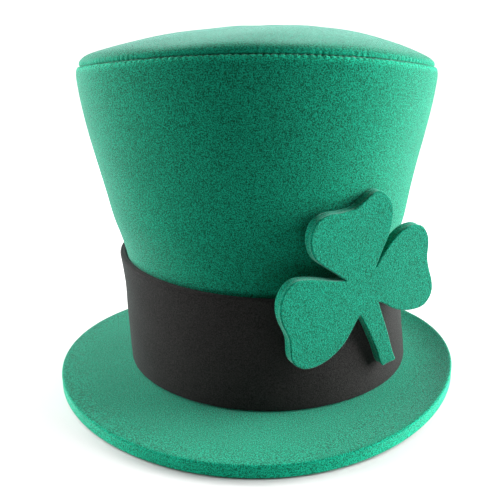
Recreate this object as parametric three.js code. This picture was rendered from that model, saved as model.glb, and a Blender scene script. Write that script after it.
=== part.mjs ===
// A tall foam costume hat: round brim, flared crown with a domed lid, black band and a shamrock.
// Millimetres, +Z up, the front towards -Y, the origin under the middle of the brim, which rests on z = 0.
import * as THREE from 'three';

// Glued or sewn pieces lie this far apart.
const GLUE_GAP = 0.3;
const SIDES = 64;
const DEGREE = Math.PI / 180;

// Brim: a flat ring whose rim curls up at the right, cut a little fuller in front than behind.
const BRIM_LENGTH = 285;
const BRIM_WIDTH = 279.6;
const BRIM_UNEVEN = 2.2;
const BRIM_FOAM = 8.7;
const LIFT_RIGHT = 6.5;
const LIFT_LEFT = 0.4;
const LIFT_FRONT = 0.3;
const LIFT_BACK = 0.5;
const FLAT_SHARE = 0.35;
const BRIM_STEPS = 6;

// Crown: a foam sheet rolled into a tube that flares from the band upwards.
const CROWN_FOAM = 6;
const FOOT_RADIUS = 97.4;
const HEAD_RADIUS = 119;
const CROWN_HEIGHT = 211.7;
const SEAM_TUCK = 2.7;
const SHOULDER_DROP = 7.5;
const SHOULDER_STEPS = 4;
const SEAM_WAVE = 5.2;
const SEAM_TILT = 1.2;
const DOME_RISE = 21.2;
const DOME_LEAN = 1.7;

// The crown is glued a little off the middle of the brim and leans to the left and the front
// on its way up.
const FOOT_SHIFT = { x: 9.4, y: 19 };
const HEAD_SHIFT = { x: 1.7, y: 13.9 };
const SIDE_BOW = -2.5;

// Band: a strip of thinner foam around the foot of the crown.
const BAND_FOAM = 4.7;
const BAND_HEIGHT = 77;
const BAND_TILT = 5.4;
const BAND_RISE = 2;
const BAND_FLARE = 0.6;

// Shamrock: die-cut foam, fixed at the front right.
const SHAMROCK_FOAM = 7;
const SHAMROCK_SPAN = 118.2;
const SHAMROCK_AZIMUTH = 28;
const SHAMROCK_HEIGHT = 86.3;
const SHAMROCK_SIDEWAYS = 7.8;
const CURVE_STEPS = 2;
const CONTACT_STEPS = 5;

// Flare of the crown: up is a share of CROWN_HEIGHT, flare of the gain from foot to head radius.
const CROWN_PROFILE = [
  { up: 0, flare: 0 },
  { up: 0.15, flare: -0.05 },
  { up: 0.27, flare: -0.085 },
  { up: 0.33, flare: -0.075 },
  { up: 0.39, flare: -0.03 },
  { up: 0.45, flare: 0.09 },
  { up: 0.52, flare: 0.265 },
  { up: 0.6, flare: 0.395 },
  { up: 0.7, flare: 0.58 },
  { up: 0.8, flare: 0.775 },
  { up: 0.9, flare: 0.935 },
  { up: 0.965, flare: 1 },
];

// Lid of the crown: out is a share of the seam's radius, rise of DOME_RISE.
const DOME_PROFILE = [
  { out: 1, rise: 0 },
  { out: 1.004, rise: 0.12 },
  { out: 0.985, rise: 0.235 },
  { out: 0.94, rise: 0.33 },
  { out: 0.89, rise: 0.445 },
  { out: 0.71, rise: 0.665 },
  { out: 0.49, rise: 0.86 },
  { out: 0.27, rise: 0.955 },
  { out: 0, rise: 1 },
];

// Outline of the shamrock from the front, across and up from its middle, in hundredths of
// SHAMROCK_SPAN. A smooth curve runs through the points of each row, and the rows meet in corners.
const SHAMROCK_OUTLINE = {
  upperLeaf: [
    [-12.9, 8.4], [-20.1, 13.5], [-27, 18.3], [-32.7, 23], [-35.5, 28.2], [-36.5, 33.5],
    [-35.5, 38.7], [-32.5, 42.6], [-26.2, 44.8], [-19.8, 44.8], [-12.4, 45.5], [-8.1, 47.6],
    [-2.7, 51.4], [0.8, 52.9], [4.3, 53.1], [8.5, 50.4], [12, 46.1], [13.3, 41.6],
    [13.2, 35.9], [12.3, 29.9], [9.7, 23.4], [5.1, 11.9],
  ],
  rightLeaf: [
    [5.1, 11.9], [8, 16.8], [11.6, 21.7], [16.1, 26.6], [21.2, 30.2], [25.7, 31.9],
    [31, 32], [35.8, 29.9], [39.5, 25.1], [41, 19.9], [41.1, 14.7], [42, 9.5],
    [44.2, 3.8], [46.9, -2.3], [48.1, -8.3], [46.6, -13.4], [42.4, -17.2], [35, -17.9],
    [27.4, -16.6], [20.7, -14], [14.9, -10.5], [9.7, -7.6],
  ],
  stalkRight: [
    [9.7, -7.6], [13, -15], [18.9, -28.2], [21.9, -35.9], [24.2, -41.3], [27, -46.9],
  ],
  stalkEnd: [
    [27, -46.9], [23.8, -47.2], [20.6, -47.7], [17.7, -48.6],
  ],
  stalkLeft: [
    [17.7, -48.6], [15.2, -44.9], [12.7, -39.1], [9.7, -32.8], [3.4, -21.4], [-2, -12.8],
  ],
  leftLeaf: [
    [-2, -12.8], [-4.1, -16.3], [-9.1, -25.1], [-12.9, -29.4], [-17.5, -32.9], [-23.4, -35.7],
    [-29.7, -36.8], [-34.9, -36.3], [-39.3, -34.1], [-42.6, -30.7], [-44.2, -26.5], [-44.7, -21.7],
    [-45.4, -17.3], [-47.5, -12.7], [-49.8, -8.2], [-51.5, -3], [-51.9, 2.5], [-50.8, 6.9],
    [-48.8, 10.2], [-46.1, 12.6], [-42.3, 13.8], [-37.6, 13.5], [-31.5, 12.4], [-19.6, 9.4],
    [-12.9, 8.4],
  ],
};

// Heights across the band at which its section has points.
const BAND_ROWS = [0, 0.2, 0.45, 0.65, 0.8, 0.9, 1];

const seamRadius = HEAD_RADIUS - SEAM_TUCK;
const seamHeight = BRIM_FOAM + CROWN_HEIGHT;

const materials = {
  green: { color: 0x35a883, roughness: 0.95, metalness: 0 },
  leaf: { color: 0x3fae8b, roughness: 0.95, metalness: 0 },
  black: { color: 0x2b2826, roughness: 0.9, metalness: 0 },
};

function mix(from, to, share) {
  return from + (to - from) * share;
}

// Share of the crown's height that lies below height z, from 0 at the brim to 1 at the seam.
function shareUp(z) {
  return THREE.MathUtils.clamp((z - BRIM_FOAM) / CROWN_HEIGHT, 0, 1);
}

// Outer radius of the crown at height z: a smooth cubic through the rows of CROWN_PROFILE.
function crownRadius(z) {
  const up = shareUp(z);
  const rows = CROWN_PROFILE;
  const last = rows.length - 1;
  if (up >= rows[last].up) {
    return HEAD_RADIUS;
  }
  let i = 0;
  while (up > rows[i + 1].up) {
    i += 1;
  }
  const slope = (k) => {
    const low = rows[Math.max(k - 1, 0)];
    const high = rows[Math.min(k + 1, last)];
    return (high.flare - low.flare) / (high.up - low.up);
  };
  const step = rows[i + 1].up - rows[i].up;
  const t = (up - rows[i].up) / step;
  const flare =
    rows[i].flare * (1 + 2 * t) * (1 - t) ** 2 +
    rows[i + 1].flare * t * t * (3 - 2 * t) +
    slope(i) * step * t * (1 - t) ** 2 -
    slope(i + 1) * step * t * t * (1 - t);
  return FOOT_RADIUS + (HEAD_RADIUS - FOOT_RADIUS) * flare;
}

// Middle of the crown at height z.
function crownMiddle(z) {
  const up = shareUp(z);
  return {
    x: mix(FOOT_SHIFT.x, HEAD_SHIFT.x, up) + SIDE_BOW * 4 * up * (1 - up),
    y: mix(FOOT_SHIFT.y, HEAD_SHIFT.y, up),
  };
}

// Turns the section of a lathe about +Z, then moves each of its points with the given function.
function turned(section, move) {
  const points = section.map(([out, up]) => new THREE.Vector2(out, up));
  const geometry = new THREE.LatheGeometry(points, SIDES);
  geometry.rotateX(Math.PI / 2);
  const place = geometry.getAttribute('position');
  const point = new THREE.Vector3();
  for (let i = 0; i < place.count; i += 1) {
    point.fromBufferAttribute(place, i);
    move(point);
    place.setXYZ(i, point.x, point.y, point.z);
  }
  geometry.computeVertexNormals();
  return geometry;
}

// Moves a point of the round crown to its leaning axis, lets the seam rise in front and behind, and
// tilts it down towards the right.
function settle(point) {
  const middle = crownMiddle(point.z);
  const wave = (point.y ** 2 - point.x ** 2) / HEAD_RADIUS ** 2;
  const rise = (SEAM_WAVE * wave - (SEAM_TILT * point.x) / HEAD_RADIUS) * shareUp(point.z) ** 3;
  point.set(point.x + middle.x, point.y + middle.y, point.z + rise);
}

function piece(name, geometry, finish) {
  const mesh = new THREE.Mesh(geometry, new THREE.MeshStandardMaterial(materials[finish]));
  mesh.name = name;
  return mesh;
}

// The brim's section runs from the head opening, out = 0, to the rim, out = 1. The rim is an
// ellipse with a wave of three crests, one of them in front.
function brim() {
  const holeRadius = FOOT_RADIUS - CROWN_FOAM;
  const steps = [0];
  for (let i = 0; i <= BRIM_STEPS; i += 1) {
    steps.push(mix(FLAT_SHARE, 1, i / BRIM_STEPS));
  }
  const below = steps.map((share) => [1 + share, 0]);
  const above = steps.map((share) => [1 + share, BRIM_FOAM]).reverse();
  const section = [...below, ...above, below[0]];
  return turned(section, (point) => {
    const radius = Math.hypot(point.x, point.y);
    const share = radius - 1;
    const sideways = point.x / radius;
    const backwards = point.y / radius;
    const curl = THREE.MathUtils.clamp((share - FLAT_SHARE) / (1 - FLAT_SHARE), 0, 1) ** 2;
    const lift =
      (sideways > 0 ? LIFT_RIGHT : LIFT_LEFT) * sideways ** 2 +
      (backwards > 0 ? LIFT_BACK : LIFT_FRONT) * backwards ** 2;
    const crest = BRIM_UNEVEN * Math.sin(3 * Math.atan2(backwards, sideways));
    const rim = {
      x: (BRIM_LENGTH / 2 + crest) * sideways,
      y: (BRIM_WIDTH / 2 + crest) * backwards + BRIM_UNEVEN,
    };
    point.set(
      mix(FOOT_SHIFT.x + holeRadius * sideways, rim.x, share),
      mix(FOOT_SHIFT.y + holeRadius * backwards, rim.y, share),
      point.z + lift * curl,
    );
  });
}

// The wall stands on the brim, and its top edge rolls in to the seam.
function crownWall() {
  const shoulderFoot = seamHeight - SHOULDER_DROP;
  const foot = BRIM_FOAM + GLUE_GAP;
  const full = CROWN_PROFILE[CROWN_PROFILE.length - 1].up;
  const heights = CROWN_PROFILE.map((row) => mix(foot, shoulderFoot, row.up / full));
  const outside = heights.map((z) => [crownRadius(z), z]);
  const inside = heights.map((z) => [crownRadius(z) - CROWN_FOAM, z]);
  for (let i = 1; i <= SHOULDER_STEPS; i += 1) {
    const turn = (i / SHOULDER_STEPS) * 90 * DEGREE;
    const radius = seamRadius + SEAM_TUCK * Math.cos(turn);
    const z = shoulderFoot + (SHOULDER_DROP - GLUE_GAP / 2) * Math.sin(turn);
    outside.push([radius, z]);
    inside.push([radius - CROWN_FOAM, z]);
  }
  return turned([...outside, ...inside.reverse(), outside[0]], settle);
}

// The lid is a domed disc of the same foam, its edge drawn down to the seam, fuller at the right.
function crownTop() {
  const foot = seamHeight + GLUE_GAP / 2;
  const outside = DOME_PROFILE.map((row) => [row.out * seamRadius, foot + row.rise * DOME_RISE]);
  const inside = DOME_PROFILE.map((row) => [
    row.out * (seamRadius - CROWN_FOAM),
    foot + row.rise * (DOME_RISE - CROWN_FOAM),
  ]);
  return turned([...inside.reverse(), ...outside], (point) => {
    const out = Math.min(Math.hypot(point.x, point.y) / (seamRadius - CROWN_FOAM), 1);
    const lean = (DOME_LEAN * 4 * (1 - out) * point.x) / seamRadius;
    settle(point);
    point.z += lean;
  });
}

// The band follows the crown's face, and its top edge runs down towards the right and the front.
function band() {
  const foot = BRIM_FOAM + GLUE_GAP;
  const bore = FOOT_RADIUS + GLUE_GAP;
  const inside = BAND_ROWS.map((share) => [bore, share]);
  const outside = BAND_ROWS.map((share) => [bore + BAND_FOAM + BAND_FLARE * (1 - share) ** 2, share]);
  const section = [...outside, ...inside.reverse(), outside[0]];
  return turned(section, (point) => {
    const radius = Math.hypot(point.x, point.y);
    const share = point.z;
    const tilt = (BAND_RISE * point.y - BAND_TILT * point.x) / radius;
    const z = foot + share * (BAND_HEIGHT + tilt);
    const out = (radius - FOOT_RADIUS + crownRadius(z)) / radius;
    point.set(point.x * out, point.y * out, z);
    settle(point);
  });
}

// Outer radius of what the shamrock lies against at height z.
function faceRadius(z) {
  const share = (z - BRIM_FOAM) / BAND_HEIGHT;
  const onBand = share < 1;
  const flare = BAND_FLARE * (1 - Math.min(share, 1)) ** 2;
  return crownRadius(z) + (onBand ? GLUE_GAP + BAND_FOAM + flare : 0);
}

// The shamrock lying in the XY plane, its back on z = 0 and its middle on the origin.
function shamrockPlate() {
  const share = SHAMROCK_SPAN / 100;
  const put = ([across, up]) => new THREE.Vector2(across * share, up * share);
  const rows = Object.values(SHAMROCK_OUTLINE).map((row) => row.map(put));
  const shape = new THREE.Shape();
  shape.moveTo(rows[0][0].x, rows[0][0].y);
  rows.forEach((row) => shape.splineThru(row.slice(1)));
  return new THREE.ExtrudeGeometry(shape, {
    depth: SHAMROCK_FOAM,
    bevelEnabled: false,
    curveSegments: CURVE_STEPS,
  });
}

// Stands the plate against the band and the crown: it lies by the band near the stalk's tip and
// by the crown behind the upper leaf, so it leans out with them, one glue gap clear of both.
function shamrock() {
  const plate = shamrockPlate();
  const place = plate.getAttribute('position');
  const turn = SHAMROCK_AZIMUTH * DEGREE;
  const outward = new THREE.Vector2(Math.sin(turn), -Math.cos(turn));
  const sideways = new THREE.Vector2(Math.cos(turn), Math.sin(turn));
  const reach = (across, z) => {
    const middle = crownMiddle(z);
    const offset = across - (middle.x * sideways.x + middle.y * sideways.y);
    const depth = Math.sqrt(Math.max(faceRadius(z) ** 2 - offset ** 2, 0));
    return middle.x * outward.x + middle.y * outward.y + depth;
  };
  const middle = crownMiddle(SHAMROCK_HEIGHT);
  const across = middle.x * sideways.x + middle.y * sideways.y + SHAMROCK_SIDEWAYS;
  let top = new THREE.Vector2(0, -Infinity);
  let tip = new THREE.Vector2(0, Infinity);
  for (let i = 0; i < place.count; i += 1) {
    const point = new THREE.Vector2(place.getX(i), place.getY(i));
    top = point.y > top.y ? point : top;
    tip = point.y < tip.y ? point : tip;
  }
  const reachAt = (point) => reach(across + point.x, SHAMROCK_HEIGHT + point.y);
  const lean = Math.atan2(reachAt(top) - reachAt(tip), top.y - tip.y);
  let standOff = -Infinity;
  for (let i = 0; i < place.count; i += 1) {
    for (let share = 0; share <= 1; share += 1 / CONTACT_STEPS) {
      const x = place.getX(i) * share;
      const up = place.getY(i) * share * Math.cos(lean);
      const need = reach(across + x, SHAMROCK_HEIGHT + up) - up * Math.tan(lean);
      standOff = Math.max(standOff, need);
    }
  }
  plate.rotateX(Math.PI / 2 + lean);
  plate.translate(0, -standOff - GLUE_GAP / Math.cos(lean), SHAMROCK_HEIGHT);
  plate.rotateZ(turn);
  plate.translate(across * sideways.x, across * sideways.y, 0);
  return plate;
}

const hat = new THREE.Group();
hat.name = 'leprechaun_hat';
hat.add(
  piece('brim', brim(), 'green'),
  piece('crown_wall', crownWall(), 'green'),
  piece('crown_top', crownTop(), 'green'),
  piece('band', band(), 'black'),
  piece('shamrock', shamrock(), 'leaf'),
);

export default hat;
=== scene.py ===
"""A tall foam costume hat: round brim, flared crown with a domed lid, black band and a shamrock."""

import math

import bpy
import numpy as np
from mathutils import Matrix, Vector


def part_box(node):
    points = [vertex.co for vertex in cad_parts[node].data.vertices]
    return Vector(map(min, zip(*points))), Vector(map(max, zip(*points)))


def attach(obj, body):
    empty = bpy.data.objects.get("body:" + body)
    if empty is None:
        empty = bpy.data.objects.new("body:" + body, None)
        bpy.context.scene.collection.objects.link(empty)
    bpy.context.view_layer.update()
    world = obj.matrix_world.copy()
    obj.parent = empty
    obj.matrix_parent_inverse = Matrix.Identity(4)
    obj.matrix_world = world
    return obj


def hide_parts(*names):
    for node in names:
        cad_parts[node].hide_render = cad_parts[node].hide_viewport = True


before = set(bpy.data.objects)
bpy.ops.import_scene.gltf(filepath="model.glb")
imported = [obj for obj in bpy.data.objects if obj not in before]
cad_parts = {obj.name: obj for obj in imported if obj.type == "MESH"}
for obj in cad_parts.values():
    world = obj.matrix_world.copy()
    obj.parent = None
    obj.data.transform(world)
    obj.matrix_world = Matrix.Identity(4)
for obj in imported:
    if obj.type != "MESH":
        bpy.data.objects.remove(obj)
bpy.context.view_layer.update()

_, brim_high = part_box("brim")

# Lengths are in metres, +Z up, the front towards -Y. Glued pieces stand a gap apart.
GLUE_GAP = 0.0003

# Brim: its outline, how high each side curls up beyond the flat share, and its cut edges.
BRIM_HALF_LENGTH = brim_high.x
BRIM_HALF_WIDTH = brim_high.y
BRIM_UNEVEN = 0.0022
BRIM_FOAM = 0.0087
LIFT_RIGHT = 0.0065
LIFT_LEFT = 0.0004
LIFT_FRONT = 0.0003
LIFT_BACK = 0.0005
FLAT_SHARE = 0.35
BRIM_EDGE_ROUND = 0.0012
BRIM_EDGE_PINCH = 0.0003

# Crown: the wall and its shoulder, the seam's height round the crown, the lid's dome, where the
# crown's middle stands at its foot and head, and the unevenness of the foam.
CROWN_FOAM = 0.006
FOOT_RADIUS = 0.0974
HEAD_RADIUS = 0.119
CROWN_HEIGHT = 0.2117
SEAM_TUCK = 0.0027
SHOULDER_DROP = 0.0075
SEAM_WAVE = 0.0052
SEAM_TILT = 0.0012
SHOULDER_POWER = 0.7
DOME_RISE = 0.0212
DOME_LEAN = 0.0017
FOOT_SHIFT = (0.0094, 0.019)
HEAD_SHIFT = (0.0017, 0.0139)
SIDE_BOW = -0.0025
WALL_UNEVEN = 0.00022
LID_UNEVEN = 0.0003
LID_EVEN_RIM = 0.008
LID_EVEN_TOP = 0.05

# Sewn seam between the wall and the lid: its groove, the stitches, the scallops that they pull
# into the wall, the puckers in the lid, and painted light that lifts the shade round the seam.
SEAM_GAP = 0.00004
GROOVE_DEPTH = 0.0005
GROOVE_HEIGHT = 0.0007
STITCH_COUNT = 190
STITCH_COLUMNS = 6 * STITCH_COUNT
SCALLOP_DEPTH = 0.0006
SCALLOP_REACH = 0.0028
SCALLOP_DOWN = 0.8
SCALLOP_IN = 0.6
PUCKER_DEPTH = 0.0005
PUCKER_REACH = 0.005
# Painted light that lifts the foam's shade round the seam: its reach up the lid, how far it lifts, and
# its share in the groove, at the stitches, how far down the stitches it reaches, and on the lid.
SEAM_LIGHT_REACH = 0.004
SEAM_LIGHT_LIFT = 0.35
SEAM_LIGHT_GROOVE = 0.7
SEAM_LIGHT_STITCH = 0.3
SEAM_LIGHT_STITCH_REACH = 0.0012
SEAM_LIGHT_LID = 0.75
# Reach of a painted highlight down the wall's rim under the seam.
RIM_HIGHLIGHT_REACH = 0.0045

# Butt joint at the back of the crown and of the band, with closer columns on both sides of it.
JOINT_ANGLE = math.pi / 2
JOINT_DEPTH = 0.0007
JOINT_WIDTH = 0.0007
JOINT_SPREAD = 0.025
JOINT_COLUMNS = 41

# Band: its outer face flares at the foot, and its top edge is higher at the left and behind.
BAND_FOAM = 0.0047
BAND_HEIGHT = 0.077
BAND_TILT = 0.0054
BAND_RISE = 0.002
BAND_FLARE = 0.0006
BAND_EDGE_ROUND = 0.0018
BAND_EDGE_PINCH = 0.0002
BAND_UNEVEN = 0.00015

# Shamrock: its middle by azimuth from the front, height, and shift along its own face.
SHAMROCK_FOAM = 0.007
SHAMROCK_SPAN = 0.1182
SHAMROCK_AZIMUTH = math.radians(28)
SHAMROCK_HEIGHT = 0.0863
SHAMROCK_SIDEWAYS = 0.0078
SHAMROCK_EDGE_ROUND = 0.001
SHAMROCK_EDGE_PINCH = 0.0004

# Columns of the brim and the band, and waves in one unevenness.
ROUND_COLUMNS = 480
UNEVEN_WAVES = 14

# Flare of the crown: share of its height, share of the gain from foot to head radius.
CROWN_PROFILE = (
    (0, 0), (0.15, -0.05), (0.27, -0.085), (0.33, -0.075), (0.39, -0.03), (0.45, 0.09),
    (0.52, 0.265), (0.6, 0.395), (0.7, 0.58), (0.8, 0.775), (0.9, 0.935), (0.965, 1),
)

# Lid: share of its rise, share of the seam's radius.
DOME_PROFILE = (
    (0, 1), (0.07, 1.002), (0.14, 0.998), (0.21, 0.985), (0.29, 0.96), (0.38, 0.916), (0.46, 0.868),
    (0.55, 0.808), (0.665, 0.71), (0.78, 0.595), (0.87, 0.47), (0.955, 0.27), (1, 0),
)

# Outline of the shamrock from the front, across and up from its middle, in hundredths of its span.
# A smooth curve runs through each row's points, and the rows meet in corners.
SHAMROCK_OUTLINE = (
    # Upper leaf.
    (
        (-12.9, 8.4), (-20.1, 13.5), (-27, 18.3), (-32.7, 23), (-35.5, 28.2), (-36.5, 33.5),
        (-35.5, 38.7), (-32.5, 42.6), (-26.2, 44.8), (-19.8, 44.8), (-12.4, 45.5), (-8.1, 47.6),
        (-2.7, 51.4), (0.8, 52.9), (4.3, 53.1), (8.5, 50.4), (12, 46.1), (13.3, 41.6),
        (13.2, 35.9), (12.3, 29.9), (9.7, 23.4), (5.1, 11.9),
    ),
    # Right leaf.
    (
        (5.1, 11.9), (8, 16.8), (11.6, 21.7), (16.1, 26.6), (21.2, 30.2), (25.7, 31.9),
        (31, 32), (35.8, 29.9), (39.5, 25.1), (41, 19.9), (41.1, 14.7), (42, 9.5),
        (44.2, 3.8), (46.9, -2.3), (48.1, -8.3), (46.6, -13.4), (42.4, -17.2), (35, -17.9),
        (27.4, -16.6), (20.7, -14), (14.9, -10.5), (9.7, -7.6),
    ),
    # Stalk's right side.
    (
        (9.7, -7.6), (13, -15), (18.9, -28.2), (21.9, -35.9), (24.2, -41.3), (27, -46.9),
    ),
    # Stalk's end.
    (
        (27, -46.9), (23.8, -47.2), (20.6, -47.7), (17.7, -48.6),
    ),
    # Stalk's left side.
    (
        (17.7, -48.6), (15.2, -44.9), (12.7, -39.1), (9.7, -32.8), (3.4, -21.4), (-2, -12.8),
    ),
    # Left leaf.
    (
        (-2, -12.8), (-4.1, -16.3), (-9.1, -25.1), (-12.9, -29.4), (-17.5, -32.9), (-23.4, -35.7),
        (-29.7, -36.8), (-34.9, -36.3), (-39.3, -34.1), (-42.6, -30.7), (-44.2, -26.5), (-44.7, -21.7),
        (-45.4, -17.3), (-47.5, -12.7), (-49.8, -8.2), (-51.5, -3), (-51.9, 2.5), (-50.8, 6.9),
        (-48.8, 10.2), (-46.1, 12.6), (-42.3, 13.8), (-37.6, 13.5), (-31.5, 12.4), (-19.6, 9.4),
        (-12.9, 8.4),
    ),
)

# Camera: the photograph's viewpoint.
PHOTO_SIDE = 504
FOCAL_PIXELS = 670
SENSOR_WIDTH = 36
CAMERA_PLACE = (-0.0197, -0.4554, 0.2304)
CAMERA_PITCH = math.radians(17.3)
CAMERA_YAW = math.radians(2.12)
CAMERA_ROLL = math.radians(-0.44)

seam_radius = HEAD_RADIUS - SEAM_TUCK
seam_height = BRIM_FOAM + CROWN_HEIGHT
foot_height = BRIM_FOAM + GLUE_GAP


def mix(start, end, share):
    """Straight blend: start at share 0, end at share 1."""
    return start + (end - start) * share


def fade(distance, reach):
    """One at distance 0, zero from reach on, smooth at both ends."""
    share = np.clip(distance / reach, 0, 1)
    return 1 - share * share * (3 - 2 * share)


def through(rows, at):
    """Smooth cubic through a table's rows; each slope is the rise between the two neighbours."""
    place, value = np.array(rows, dtype=float).T
    last = len(place) - 1
    low = np.maximum(np.arange(last + 1) - 1, 0)
    high = np.minimum(np.arange(last + 1) + 1, last)
    slope = (value[high] - value[low]) / (place[high] - place[low])
    i = np.clip(np.searchsorted(place, at, side="right") - 1, 0, last - 1)
    step = place[i + 1] - place[i]
    t = np.clip((at - place[i]) / step, 0, 1)
    return (
        value[i] * (1 + 2 * t) * (1 - t) ** 2
        + value[i + 1] * t * t * (3 - 2 * t)
        + slope[i] * step * t * (1 - t) ** 2
        - slope[i + 1] * step * t * t * (1 - t)
    )


def share_up(height):
    """Share of the crown's height below a level, 0 at the brim and 1 at the seam."""
    return np.clip((height - BRIM_FOAM) / CROWN_HEIGHT, 0, 1)


def crown_radius(height):
    """Outer radius of the crown: foot radius plus the table's flare of the gain to head radius."""
    return FOOT_RADIUS + (HEAD_RADIUS - FOOT_RADIUS) * through(CROWN_PROFILE, share_up(height))


def crown_middle(height):
    """Middle of the crown: a straight lean from foot to head, with a parabolic bow sideways."""
    up = share_up(height)
    x = mix(FOOT_SHIFT[0], HEAD_SHIFT[0], up) + SIDE_BOW * 4 * up * (1 - up)
    return x, mix(FOOT_SHIFT[1], HEAD_SHIFT[1], up)


def settled(radius, angle, height):
    """Points round the crown: a circle moved to the crown's middle. Its height follows the seam, up in
    front and behind, down at the sides and more so at the right, by the cube of the share up."""
    x, y = radius * np.cos(angle), radius * np.sin(angle)
    middle_x, middle_y = crown_middle(height)
    wave = (y * y - x * x) / HEAD_RADIUS**2
    rise = (SEAM_WAVE * wave - SEAM_TILT * x / HEAD_RADIUS) * share_up(height) ** 3
    return np.stack([x + middle_x, y + middle_y, height + rise], axis=-1)


def unevenness(angle, along, size, seed):
    """Soft unevenness of foam: a sum of sine waves, each with its own number of turns round the
    piece and of waves along it, about one unit high."""
    random = np.random.default_rng(seed)
    total = 0.0
    for _ in range(UNEVEN_WAVES):
        turns = random.integers(1, 11)
        waves = random.uniform(0.4, 2.6) * math.tau / size
        start = random.uniform(0, math.tau)
        total = total + np.sin(turns * angle + waves * along + start) / UNEVEN_WAVES**0.5
    return total


def joint_groove(angle, radius):
    """Bell-shaped groove across the butt joint at the back, one deep on its line."""
    away = (angle - JOINT_ANGLE) * radius / JOINT_WIDTH
    return np.exp(-away * away)


def stitches(angle):
    """One at each stitch and zero halfway between two: one less the size of a sine."""
    return 1 - np.abs(np.sin(STITCH_COUNT * angle / 2))


def even_angles(count):
    """Angles once round, evenly apart."""
    return np.arange(count) * math.tau / count


def joint_angles(count):
    """Angles once round, closer together at the butt joint."""
    even = even_angles(count)
    close = JOINT_ANGLE + np.linspace(-JOINT_SPREAD, JOINT_SPREAD, JOINT_COLUMNS)
    apart = np.abs(even - JOINT_ANGLE) > 1.02 * JOINT_SPREAD
    return np.sort(np.concatenate([even[apart], close]))[None, :]


def foam_section(shares, thick, rounding, pinch, corner_steps=5, edge_steps=5):
    """Section of a cut foam strip, once round, as columns: share along it, offset along it, depth
    through it and how far it is a cut edge, which sets how much painted highlight it takes. Corners
    are quarter circles, and a cut edge is pinched in by a half sine."""
    turn = np.linspace(0, math.pi / 2, corner_steps + 1)[1:]
    rise, run = rounding * np.sin(turn), rounding * (1 - np.cos(turn))
    edge = np.linspace(0, 1, edge_steps + 1)[1:-1]
    edge_depth = mix(rounding, thick - rounding, edge)
    edge_in = pinch * np.sin(math.pi * edge)
    face = np.asarray(shares, dtype=float)
    edge_highlight = turn / (math.pi / 2)
    parts = [
        (face, mix(rounding, -rounding, face), 0 * face, 0 * face),
        (1 + 0 * turn, rise - rounding, run, edge_highlight),
        (1 + 0 * edge, -edge_in, edge_depth, 1 + 0 * edge),
        (1 + 0 * turn[::-1], (rise - rounding)[::-1], (thick - run)[::-1], edge_highlight[::-1]),
        (face[::-1], mix(rounding, -rounding, face)[::-1], thick + 0 * face, 0 * face),
        (0 * turn, rounding - rise, thick - run, edge_highlight),
        (0 * edge, edge_in, edge_depth[::-1], 1 + 0 * edge),
        (0 * turn, (rounding - rise)[::-1], run[::-1], edge_highlight[::-1]),
    ]
    return [np.concatenate(column)[:, None] for column in zip(*parts)]


def piece(name, grid, edge_highlight, seam_light, finish, slot, node, ends=None):
    """A closed surface from a grid of points, one row for each ring. Rings close on themselves. The
    last row joins the first, or the ends close to a "point" each or with a "flat" face each. Each
    point is marked with how far it takes a painted highlight, on cut edges and on the wall's rim,
    and how far it takes painted light that lifts the shade round the seam."""
    rows, columns = grid.shape[:2]
    number = np.arange(rows * columns).reshape(rows, columns)
    if ends is None:
        number = np.vstack([number, number[:1]])
    low, high = number[:-1], number[1:]
    quads = np.stack([low, np.roll(low, -1, 1), np.roll(high, -1, 1), high], axis=-1)
    points = grid.reshape(-1, 3)
    marks = {"edge_highlight": edge_highlight, "seam_light": seam_light}
    marks = {key: np.broadcast_to(mark, grid.shape[:2]).reshape(-1) for key, mark in marks.items()}
    faces = quads.reshape(-1, 4).tolist()
    if ends == "point":
        first, last = rows * columns, rows * columns + 1
        points = np.vstack([points, grid[0].mean(0), grid[-1].mean(0)])
        marks = {key: np.append(mark, [0, 0]) for key, mark in marks.items()}
        start, end = number[0], number[-1]
        faces += np.stack([np.roll(start, -1), start, np.full(columns, first)], -1).tolist()
        faces += np.stack([end, np.roll(end, -1), np.full(columns, last)], -1).tolist()
    if ends == "flat":
        faces += [number[0, ::-1].tolist(), number[-1].tolist()]
    mesh = bpy.data.meshes.new(name)
    mesh.from_pydata(points.tolist(), [], faces)
    for key, mark in marks.items():
        mesh.attributes.new(key, "FLOAT", "POINT").data.foreach_set("value", mark.astype(np.float32))
    mesh.shade_smooth()
    if ends == "flat":
        mesh.polygons[-1].use_smooth = mesh.polygons[-2].use_smooth = False
    mesh.materials.append(finish)
    made = bpy.data.objects.new(name, mesh)
    bpy.context.collection.objects.link(made)
    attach(made, "root")
    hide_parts(node)
    return made


def brim_surface():
    """Brim: share s runs from the round head opening to the rim, an ellipse with a wave of three
    crests, and the curl is each side's lift times the square of the share beyond the flat part."""
    angle = even_angles(ROUND_COLUMNS)[None, :]
    share, offset, depth, edge_highlight = foam_section(
        np.linspace(0, 1, 26), BRIM_FOAM, BRIM_EDGE_ROUND, BRIM_EDGE_PINCH
    )
    hole = FOOT_RADIUS - CROWN_FOAM
    sideways, backwards = np.cos(angle), np.sin(angle)
    lift = np.where(sideways > 0, LIFT_RIGHT, LIFT_LEFT) * sideways**2
    lift = lift + np.where(backwards > 0, LIFT_BACK, LIFT_FRONT) * backwards**2
    curl = np.clip((share - FLAT_SHARE) / (1 - FLAT_SHARE), 0, 1) ** 2
    crest = BRIM_UNEVEN * np.sin(3 * angle)
    rim_x = (BRIM_HALF_LENGTH + crest) * sideways
    rim_y = (BRIM_HALF_WIDTH + crest) * backwards + BRIM_UNEVEN
    x = mix(FOOT_SHIFT[0] + hole * sideways, rim_x, share) + offset * sideways
    y = mix(FOOT_SHIFT[1] + hole * backwards, rim_y, share) + offset * backwards
    z = depth + lift * curl
    return np.stack([x, y, z], axis=-1), edge_highlight, 0.0


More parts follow.
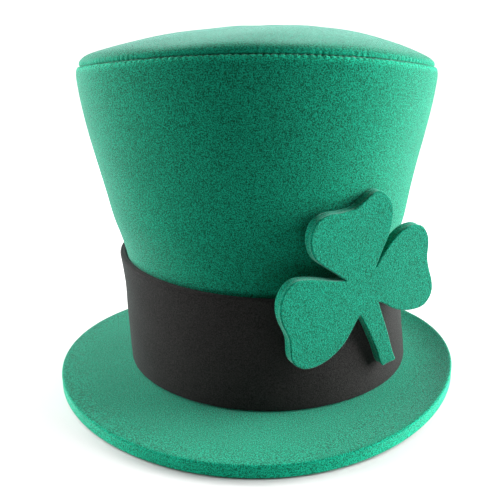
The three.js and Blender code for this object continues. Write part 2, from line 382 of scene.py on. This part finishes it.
def crown_side_surface():
    """Wall of the crown: its section goes up the outside, over the shoulder, into the groove of the
    seam, and down the inside. The shoulder is a quarter ellipse made fuller by a power of its sine
    and cosine, and inside it is a plain quarter ellipse. The stitches scallop its top edge."""
    angle = joint_angles(STITCH_COLUMNS)
    shoulder_foot = seam_height - SHOULDER_DROP
    shoulder_top = seam_height - SEAM_GAP / 2
    climb = np.linspace(0, 1, 40)
    turn = np.linspace(0, math.pi / 2, 13)[1:]
    into = np.linspace(0, 1, 5)[1:]
    outside_z = mix(foot_height, shoulder_foot, climb)
    shoulder_z = shoulder_foot + (shoulder_top - shoulder_foot) * np.sin(turn) ** SHOULDER_POWER
    inside_z = mix(shoulder_top, foot_height, np.linspace(0, 1, 12))
    inside_radius = np.minimum(crown_radius(inside_z), seam_radius + SEAM_TUCK) - CROWN_FOAM
    near_seam = np.clip((inside_z - shoulder_foot) / SHOULDER_DROP, 0, 1)
    height = np.concatenate([outside_z, shoulder_z, shoulder_top + 0 * into, inside_z])[:, None]
    radius = np.concatenate(
        [
            crown_radius(outside_z),
            seam_radius + SEAM_TUCK * np.abs(np.cos(turn)) ** SHOULDER_POWER,
            seam_radius - GROOVE_DEPTH * into,
            inside_radius - SEAM_TUCK * (1 - np.sqrt(1 - near_seam**2)),
        ]
    )[:, None]
    outer = np.concatenate([1 + 0 * outside_z, 1 + 0 * turn, 0 * into, 0 * inside_z])[:, None]
    below = shoulder_top - height
    stitch = stitches(angle)
    pull = SCALLOP_DEPTH * stitch * fade(below, SCALLOP_REACH)
    soft = WALL_UNEVEN * unevenness(angle, height, CROWN_HEIGHT, 3)
    groove = JOINT_DEPTH * joint_groove(angle, FOOT_RADIUS)
    radius = radius + outer * (soft - groove - SCALLOP_IN * pull)
    # Painted light lifts the shade in the seam's groove and at the stitches under it.
    seam_light = SEAM_LIGHT_GROOVE * (1 - outer) * (below < 1e-6)
    seam_light = seam_light + SEAM_LIGHT_STITCH * outer * stitch * fade(below, SEAM_LIGHT_STITCH_REACH)
    # Painted highlight: the wall's rim under the seam is brightened like a lit edge, through the edge
    # mark.
    rim_highlight = outer * fade(below, RIM_HIGHLIGHT_REACH)
    return settled(radius, angle, height - SCALLOP_DOWN * pull), rim_highlight, seam_light


def crown_lid_surface():
    """Lid: a domed disc of foam, its section from the middle of its hollow side out to the seam, then
    up over the puckered edge and in to the top. The stitches draw short puckers above the seam, and
    a sine of slowly changing pace makes some of them deeper than others."""
    angle = even_angles(STITCH_COLUMNS)[None, :]
    foot = seam_height + SEAM_GAP / 2
    inside_share = np.array([0.02, 0.1, 0.3, 0.5, 0.7, 0.86, 0.95])
    rise_in = np.interp(inside_share, *np.array(sorted((out, up) for up, out in DOME_PROFILE)).T)
    rise_out = np.concatenate([np.linspace(0, 0.3, 16), np.linspace(0.3, 0.999, 30)[1:]])
    out = through(DOME_PROFILE, rise_out)
    tuck = GROOVE_DEPTH * np.clip(1 - rise_out * DOME_RISE / GROOVE_HEIGHT, 0, 1) ** 2
    radius = np.concatenate([inside_share * (seam_radius - CROWN_FOAM), out * seam_radius - tuck])
    height = foot + np.concatenate([rise_in * (DOME_RISE - CROWN_FOAM), rise_out * DOME_RISE])
    radius, height = radius[:, None], height[:, None]
    outer = np.concatenate([0 * inside_share, 1 + 0 * rise_out])[:, None]
    above = height - foot
    pull = stitches(angle) * (0.6 + 0.4 * np.sin(17 * angle + 3 * np.sin(5 * angle)))
    pucker = PUCKER_DEPTH * pull * fade(above, PUCKER_REACH) * outer
    soft = LID_UNEVEN * unevenness(angle, radius, HEAD_RADIUS, 8) * outer
    soft = soft * (1 - fade(above, LID_EVEN_RIM)) * (1 - fade(radius, LID_EVEN_TOP))
    # Painted light lifts the shade of the lid just above the seam, more at the stitches.
    seam_light = outer * fade(above, SEAM_LIGHT_REACH) * mix(SEAM_LIGHT_LID, 1, pull)
    place = settled(radius - pucker, angle, height + soft)
    inward = 1 - np.minimum(radius / (seam_radius - CROWN_FOAM), 1)
    place[..., 2] += DOME_LEAN * 4 * inward * radius / seam_radius * np.cos(angle)
    return place, 0.0, seam_light


def hat_band_surface():
    """Band: a strip lying on the crown's face, a glue gap off it, its outer face flaring out at the
    foot with the square of the distance below its top edge, and its height tilted sideways."""
    angle = joint_angles(ROUND_COLUMNS)
    share, offset, depth, edge_highlight = foam_section(
        np.linspace(0, 1, 30), BAND_FOAM, BAND_EDGE_ROUND, BAND_EDGE_PINCH
    )
    tilt = BAND_RISE * np.sin(angle) - BAND_TILT * np.cos(angle)
    height = foot_height + share * (BAND_HEIGHT + tilt) + offset
    outer = 1 - depth / BAND_FOAM
    flare = BAND_FLARE * (1 - share) ** 2 * outer
    soft = BAND_UNEVEN * unevenness(angle, height, BAND_HEIGHT, 5) * (outer > 0.5)
    groove = JOINT_DEPTH * joint_groove(angle, FOOT_RADIUS) * outer
    radius = crown_radius(height) + GLUE_GAP + BAND_FOAM - depth + flare + soft - groove
    return settled(radius, angle, height), edge_highlight, 0.0


def smooth_row(points, steps=24):
    """Smooth curve through a row of points: between two of them a cubic whose slope at each is half
    the step between its neighbours. The last point is left to the next row."""
    ends = np.concatenate([points[:1], points, points[-1:]])
    before, start, end, after = (ends[k : len(points) - 1 + k, None, :] for k in range(4))
    t = np.linspace(0, 1, steps, endpoint=False)[None, :, None]
    curve = start + t / 2 * (
        end - before
        + t * (2 * before - 5 * start + 4 * end - after)
        + t * t * (3 * (start - end) + after - before)
    )
    return curve.reshape(-1, 2)


def shamrock_outline(count=640):
    """Outline of the shamrock against the clock, its points spaced evenly along it, each averaged
    twice with its neighbours so that the corners are as blunt as a cutting die leaves them."""
    rows = [smooth_row(np.array(row) * SHAMROCK_SPAN / 100) for row in SHAMROCK_OUTLINE]
    line = np.concatenate(rows)[::-1]
    closed = np.vstack([line, line[:1]])
    run = np.concatenate([[0], np.cumsum(np.linalg.norm(np.diff(closed, axis=0), axis=1))])
    at = np.arange(count) * run[-1] / count
    even = np.stack([np.interp(at, run, closed[:, k]) for k in (0, 1)], axis=1)
    for _ in range(2):
        even = (np.roll(even, 1, 0) + 2 * even + np.roll(even, -1, 0)) / 4
    return even


def face_radius(height):
    """Outer radius of the band, and above it of the crown."""
    share = (height - BRIM_FOAM) / BAND_HEIGHT
    band = GLUE_GAP + BAND_FOAM + BAND_FLARE * (1 - np.minimum(share, 1)) ** 2
    return crown_radius(height) + np.where(share < 1, band, 0)


def shamrock_surface():
    """Shamrock: rings run from its flat back out over the cut edge and in to its flat face, each ring
    the outline drawn in along its normals. The plate leans with the hat, and stands off until its
    nearest point is a glue gap clear."""
    outline = shamrock_outline()
    ahead = np.roll(outline, -1, 0) - np.roll(outline, 1, 0)
    ahead = ahead / np.linalg.norm(ahead, axis=1)[:, None]
    normal = np.stack([ahead[:, 1], -ahead[:, 0]], axis=1)
    turn = np.linspace(0, math.pi / 2, 6)
    run, rise = SHAMROCK_EDGE_ROUND * (1 - np.sin(turn)), SHAMROCK_EDGE_ROUND * (1 - np.cos(turn))
    edge = np.linspace(0, 1, 7)[1:-1]
    edge_depth = mix(SHAMROCK_EDGE_ROUND, SHAMROCK_FOAM - SHAMROCK_EDGE_ROUND, edge)
    edge_in = SHAMROCK_EDGE_PINCH * np.sin(math.pi * edge)
    rim_in = np.concatenate([run, edge_in, run[::-1]])
    depth = np.concatenate([rise, edge_depth, SHAMROCK_FOAM - rise[::-1]])
    edge_highlight = np.concatenate([turn, math.pi / 2 + 0 * edge, turn[::-1]]) / (math.pi / 2)
    flat = outline[None] - normal[None] * rim_in[:, None, None]
    depth = depth[:, None] + 0 * flat[..., 0]

    outward = np.array([math.sin(SHAMROCK_AZIMUTH), -math.cos(SHAMROCK_AZIMUTH)])
    sideways = np.array([math.cos(SHAMROCK_AZIMUTH), math.sin(SHAMROCK_AZIMUTH)])

    def reach(across, height):
        middle = np.stack(crown_middle(height) + 0 * np.array(height), axis=-1)
        offset = across - middle @ sideways
        return middle @ outward + np.sqrt(np.maximum(face_radius(height) ** 2 - offset**2, 0))

    middle = np.array(crown_middle(SHAMROCK_HEIGHT))
    across = middle @ sideways + SHAMROCK_SIDEWAYS
    top, tip = outline[outline[:, 1].argmax()], outline[outline[:, 1].argmin()]
    reach_top = reach(across + top[0], SHAMROCK_HEIGHT + top[1])
    reach_tip = reach(across + tip[0], SHAMROCK_HEIGHT + tip[1])
    lean = math.atan2(reach_top - reach_tip, top[1] - tip[1])
    probe = outline[None] * np.linspace(0, 1, 9)[:, None, None]
    up = probe[..., 1] * math.cos(lean)
    need = reach(across + probe[..., 0], SHAMROCK_HEIGHT + up) - up * math.tan(lean)
    stand_off = need.max() + GLUE_GAP / math.cos(lean)
    out = stand_off + flat[..., 1] * math.sin(lean) + depth * math.cos(lean)
    z = SHAMROCK_HEIGHT + flat[..., 1] * math.cos(lean) - depth * math.sin(lean)
    side = across + flat[..., 0]
    x = side * sideways[0] + out * outward[0]
    y = side * sideways[1] + out * outward[1]
    return np.stack([x, y, z], axis=-1), edge_highlight[:, None], 0.0


def wired(tree, kind, settings=(), **inputs):
    """A shader node with its settings and inputs; an input is a value or another node's output."""
    made = tree.nodes.new(kind)
    for key, value in dict(settings).items():
        setattr(made, key, value)
    for key, value in inputs.items():
        socket = made.inputs[int(key[1:])] if key[1:].isdigit() else made.inputs[key.replace("_", " ")]
        if isinstance(value, bpy.types.NodeSocket):
            tree.links.new(value, socket)
        else:
            socket.default_value = value
    return made


def foam_finish(name, deep, light, grain, contrast, bump, sheen, highlight_gain):
    """Open-cell foam: grain noise between a deep and a lighter shade, dark pores from a cell pattern,
    slow patches of shade, painted light that lifts the shade round the seam, a painted highlight
    that brightens cut edges and the wall's rim by a factor, and a bump from the same grain."""
    finish = bpy.data.materials.new(name)
    finish.use_nodes = True
    tree = finish.node_tree
    tree.nodes.clear()
    place = wired(tree, "ShaderNodeTexCoord").outputs["Object"]
    cells = wired(tree, "ShaderNodeTexNoise", Vector=place, Scale=grain, Detail=2.5, Roughness=0.62)
    pores = wired(tree, "ShaderNodeTexVoronoi", Vector=place, Scale=grain * 1.25)
    patches = wired(tree, "ShaderNodeTexNoise", Vector=place, Scale=28.0, Detail=3.0)
    spread = wired(
        tree, "ShaderNodeMapRange", Value=cells.outputs["Fac"],
        From_Min=0.5 - contrast, From_Max=0.5 + contrast,
    )
    # Painted light: the seam mark lifts the shade towards and beyond the lighter one.
    seam_light = wired(tree, "ShaderNodeAttribute", {"attribute_name": "seam_light"})
    closed = wired(
        tree, "ShaderNodeMath", {"operation": "MULTIPLY_ADD"},
        _0=seam_light.outputs["Fac"], _1=SEAM_LIGHT_LIFT, _2=spread.outputs["Result"],
    )
    shade = wired(
        tree, "ShaderNodeMix", {"data_type": "RGBA", "clamp_factor": False},
        _0=closed.outputs[0], _6=(*deep, 1), _7=(*light, 1),
    )
    pore = wired(
        tree, "ShaderNodeMapRange", Value=pores.outputs["Distance"],
        From_Min=0.05, From_Max=0.45, To_Min=0.72, To_Max=1.05,
    )
    slow = wired(
        tree, "ShaderNodeMapRange", Value=patches.outputs["Fac"],
        From_Min=0.3, From_Max=0.7, To_Min=0.95, To_Max=1.05,
    )
    depth = wired(
        tree, "ShaderNodeMath", {"operation": "MULTIPLY"},
        _0=pore.outputs["Result"], _1=slow.outputs["Result"],
    )
    # Painted highlight: the edge mark brightens cut edges and the wall's rim by the given factor.
    edge = wired(
        tree, "ShaderNodeMapRange", To_Min=1.0, To_Max=highlight_gain,
        Value=wired(tree, "ShaderNodeAttribute", {"attribute_name": "edge_highlight"}).outputs["Fac"],
    )
    bright = wired(
        tree, "ShaderNodeMath", {"operation": "MULTIPLY"},
        _0=depth.outputs[0], _1=edge.outputs["Result"],
    )
    colour = wired(
        tree, "ShaderNodeVectorMath", {"operation": "SCALE"},
        _0=shade.outputs[2], Scale=bright.outputs[0],
    )
    relief = wired(
        tree, "ShaderNodeMath", {"operation": "MULTIPLY_ADD"},
        _0=pores.outputs["Distance"], _1=0.7, _2=cells.outputs["Fac"],
    )
    raised = wired(
        tree, "ShaderNodeBump", Strength=0.8, Distance=bump, Height=relief.outputs[0]
    )
    skin = wired(
        tree, "ShaderNodeBsdfPrincipled", Base_Color=colour.outputs[0], Roughness=0.95,
        Normal=raised.outputs["Normal"],
    )
    skin.inputs["Specular IOR Level"].default_value = 0.15
    skin.inputs["Sheen Weight"].default_value = sheen
    skin.inputs["Sheen Roughness"].default_value = 0.32
    skin.inputs["Sheen Tint"].default_value = (0.65, 1, 0.94, 1)
    wired(tree, "ShaderNodeOutputMaterial", Surface=skin.outputs["BSDF"])
    return finish


def paper_finish():
    """Matt paper: grey far in front of the hat, pale under it and white behind it."""
    finish = bpy.data.materials.new("pale_paper")
    finish.use_nodes = True
    tree = finish.node_tree
    place = wired(tree, "ShaderNodeTexCoord").outputs["Object"]
    depth = wired(tree, "ShaderNodeSeparateXYZ", Vector=place)
    near = wired(
        tree, "ShaderNodeMapRange", {"interpolation_type": "SMOOTHSTEP"}, Value=depth.outputs["Y"],
        From_Min=-0.75, From_Max=-0.2, To_Min=0.11, To_Max=0.62,
    )
    behind = wired(
        tree, "ShaderNodeMapRange", {"interpolation_type": "SMOOTHSTEP"}, Value=depth.outputs["Y"],
        From_Min=0.2, From_Max=1.2, To_Max=0.3,
    )
    white = wired(
        tree, "ShaderNodeMath", {"operation": "ADD"},
        _0=near.outputs["Result"], _1=behind.outputs["Result"],
    )
    skin = tree.nodes["Principled BSDF"]
    tree.links.new(white.outputs[0], skin.inputs["Base Color"])
    skin.inputs["Roughness"].default_value = 0.9
    return finish


def studio_sweep():
    """Floor disc that rises in a quarter circle to an upright wall, turned once round."""
    flat, bend, wall, columns = 1.1, 0.6, 1.2, 96
    turn = np.linspace(0, math.pi / 2, 17)
    radius = np.concatenate([[0.001, 0.3, 0.7], flat + bend * np.sin(turn), [flat + bend]])[:, None]
    height = np.concatenate([[0, 0, 0], bend * (1 - np.cos(turn)), [bend + wall]])[:, None]
    angle = even_angles(columns)[None, :]
    x, y = radius * np.cos(angle), radius * np.sin(angle)
    points = np.stack([x, y, height + 0 * x], axis=-1).reshape(-1, 3)
    number = np.arange(len(points)).reshape(-1, columns)
    low, high = number[:-1], number[1:]
    quads = np.stack([low, high, np.roll(high, -1, 1), np.roll(low, -1, 1)], axis=-1)
    mesh = bpy.data.meshes.new("studio_sweep")
    mesh.from_pydata(points.tolist(), [], quads.reshape(-1, 4).tolist() + [number[0].tolist()])
    mesh.shade_smooth()
    mesh.materials.append(paper_finish())
    sweep = bpy.data.objects.new("studio_sweep", mesh)
    bpy.context.collection.objects.link(sweep)


def soft_light(name, place, aim, size, power):
    """A square soft box at a place, turned towards its aim."""
    lamp = bpy.data.lights.new(name, "AREA")
    lamp.shape, lamp.size, lamp.energy = "SQUARE", size, power
    box = bpy.data.objects.new(name, lamp)
    box.location = place
    box.rotation_mode = "QUATERNION"
    box.rotation_quaternion = (Vector(aim) - Vector(place)).to_track_quat("-Z", "Y")
    box.visible_camera = False
    bpy.context.collection.objects.link(box)


def studio_light():
    """Soft boxes at both sides, dimmer ones behind and above, and a black room beyond the paper."""
    aim = (0, 0, 0.14)
    soft_light("right_side_box", (1.0, 0, 0.42), aim, 0.8, 39.5)
    soft_light("left_side_box", (-1.0, 0.1, 0.42), aim, 0.8, 16)
    soft_light("right_rear_box", (0.85, 0.5, 0.6), aim, 0.8, 4)
    soft_light("left_rear_box", (-0.8, 0.6, 0.6), aim, 0.8, 17)
    soft_light("overhead_box", (0, 0.5, 1.3), aim, 0.9, 4)
    world = bpy.data.worlds.new("dark_room")
    world.use_nodes = True
    world.node_tree.nodes["Background"].inputs["Strength"].default_value = 0
    bpy.context.scene.world = world
    bpy.context.scene.view_settings.view_transform = "Standard"


def photo_camera():
    """Camera at the photograph's viewpoint: forward from yaw and pitch, then rolled."""
    cos_pitch, sin_pitch = math.cos(CAMERA_PITCH), math.sin(CAMERA_PITCH)
    cos_yaw, sin_yaw = math.cos(CAMERA_YAW), math.sin(CAMERA_YAW)
    forward = Vector((sin_yaw * cos_pitch, cos_yaw * cos_pitch, -sin_pitch))
    level = Vector((cos_yaw, -sin_yaw, 0))
    upright = level.cross(forward)
    right = math.cos(CAMERA_ROLL) * level + math.sin(CAMERA_ROLL) * upright
    up = math.cos(CAMERA_ROLL) * upright - math.sin(CAMERA_ROLL) * level
    lens = bpy.data.cameras.new("photo_camera")
    lens.sensor_width = SENSOR_WIDTH
    lens.lens = SENSOR_WIDTH * FOCAL_PIXELS / PHOTO_SIDE
    lens.clip_start, lens.clip_end = 0.01, 20
    camera = bpy.data.objects.new("photo_camera", lens)
    camera.matrix_world = Matrix((right, up, -forward)).transposed().to_4x4()
    camera.location = CAMERA_PLACE
    bpy.context.collection.objects.link(camera)
    bpy.context.scene.camera = camera


def dress_hat():
    """Every piece of the hat with its finish."""
    # Each finish's last factor is a painted highlight on cut edges and on the wall's rim.
    green = foam_finish(
        "green_foam", deep=(0, 0.07, 0.035), light=(0.002, 0.28, 0.165),
        grain=1600.0, contrast=0.065, bump=0.0003, sheen=0.34, highlight_gain=1.75,
    )
    leaf = foam_finish(
        "shamrock_foam", deep=(0, 0.078, 0.041), light=(0.003, 0.255, 0.158),
        grain=1250.0, contrast=0.115, bump=0.0004, sheen=0.34, highlight_gain=1.15,
    )
    black = foam_finish(
        "black_foam", deep=(0.007, 0.0065, 0.0065), light=(0.026, 0.024, 0.023),
        grain=1300.0, contrast=0.15, bump=0.0002, sheen=0.07, highlight_gain=1.1,
    )
    piece("brim_foam", *brim_surface(), green, "green_foam", "brim")
    piece("crown_side", *crown_side_surface(), green, "green_foam", "crown_wall")
    piece("crown_lid", *crown_lid_surface(), green, "green_foam", "crown_top", ends="point")
    piece("hat_band", *hat_band_surface(), black, "black_foam", "band")
    piece("shamrock_plate", *shamrock_surface(), leaf, "shamrock_foam", "shamrock", ends="flat")


photo_camera()
studio_sweep()
studio_light()
dress_hat()
